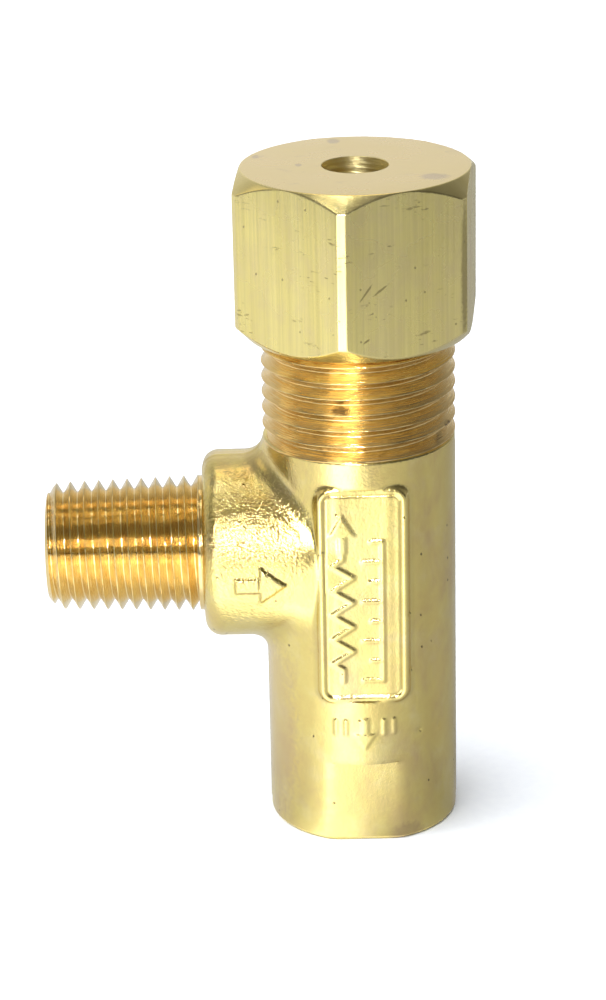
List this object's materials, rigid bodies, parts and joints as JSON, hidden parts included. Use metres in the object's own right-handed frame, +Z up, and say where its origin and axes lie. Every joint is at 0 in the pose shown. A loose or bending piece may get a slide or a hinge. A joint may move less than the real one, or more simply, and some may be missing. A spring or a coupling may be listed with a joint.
{
  "type": "pressure relief valve",
  "caption": "Brass adjustable relief valve: tapered male inlet on the side, female bypass port in the foot, long outer thread with a hexagonal adjusting cap on top.",
  "frame": {"origin": "middle of the outer box at the level of the foot, which the valve stands on; the upright axis is 9.61 mm from it towards +X", "axes": "+Z up along the valve's axis from foot to cap, -X out of the inlet, -Y out of the front with the flat panel"},
  "size_m": [0.0428, 0.0252, 0.0673],
  "materials": {
    "forged_brass": "tumbled forging, bright yellow, machined on the threads",
    "drawn_brass": "drawn bar, olive brown, with fine lengthwise streaks",
    "stainless_steel": "turned",
    "spring_steel": "drawn wire",
    "seal_rubber": "moulded, black",
    "white_plastic": "turned, off-white"
  },
  "bodies": {
    "valve": {"valve_body": "forged_brass", "valve_seat": "stainless_steel", "seat_o_ring": "seal_rubber", "seat_retainer": "forged_brass", "piston_stop_ring": "spring_steel", "pressure_spring": "spring_steel"},
    "piston": {"valve_ball": "stainless_steel", "ball_carrier": "stainless_steel", "piston_stem": "stainless_steel", "lower_backup_ring": "white_plastic", "upper_backup_ring": "white_plastic", "piston_o_ring": "seal_rubber", "piston_guide_ring": "white_plastic", "lower_spring_seat": "stainless_steel", "spring_shim": "stainless_steel", "stem_nut": "stainless_steel"},
    "spring_guide": {"upper_spring_guide": "stainless_steel"},
    "cap": {"adjusting_cap": "drawn_brass", "thrust_washer": "forged_brass", "thread_lock_pellet": "white_plastic"}
  },
  "joints": [
    {"name": "piston_lift", "type": "slide", "parent": "valve", "child": "piston", "axis": [0, 0, 1], "range_m": [0, 0.001], "stiffness_N_per_m": 25800, "springref_m": -0.002},
    {"name": "cap_lift", "type": "slide", "parent": "valve", "child": "spring_guide", "axis": [0, 0, 1], "range_m": [-0.00477, 0.0016], "deforming": ["pressure_spring"]},
    {"name": "cap_turn", "type": "hinge", "parent": "spring_guide", "child": "cap", "pos_m": [0.00961, 0, 0.05092], "axis": [0, 0, 1], "range_deg": [-1080, 360]}
  ],
  "couplings": [
    {"joint": "cap_lift", "follows": "cap_turn", "m_per_rad": 0.00025266}
  ]
}
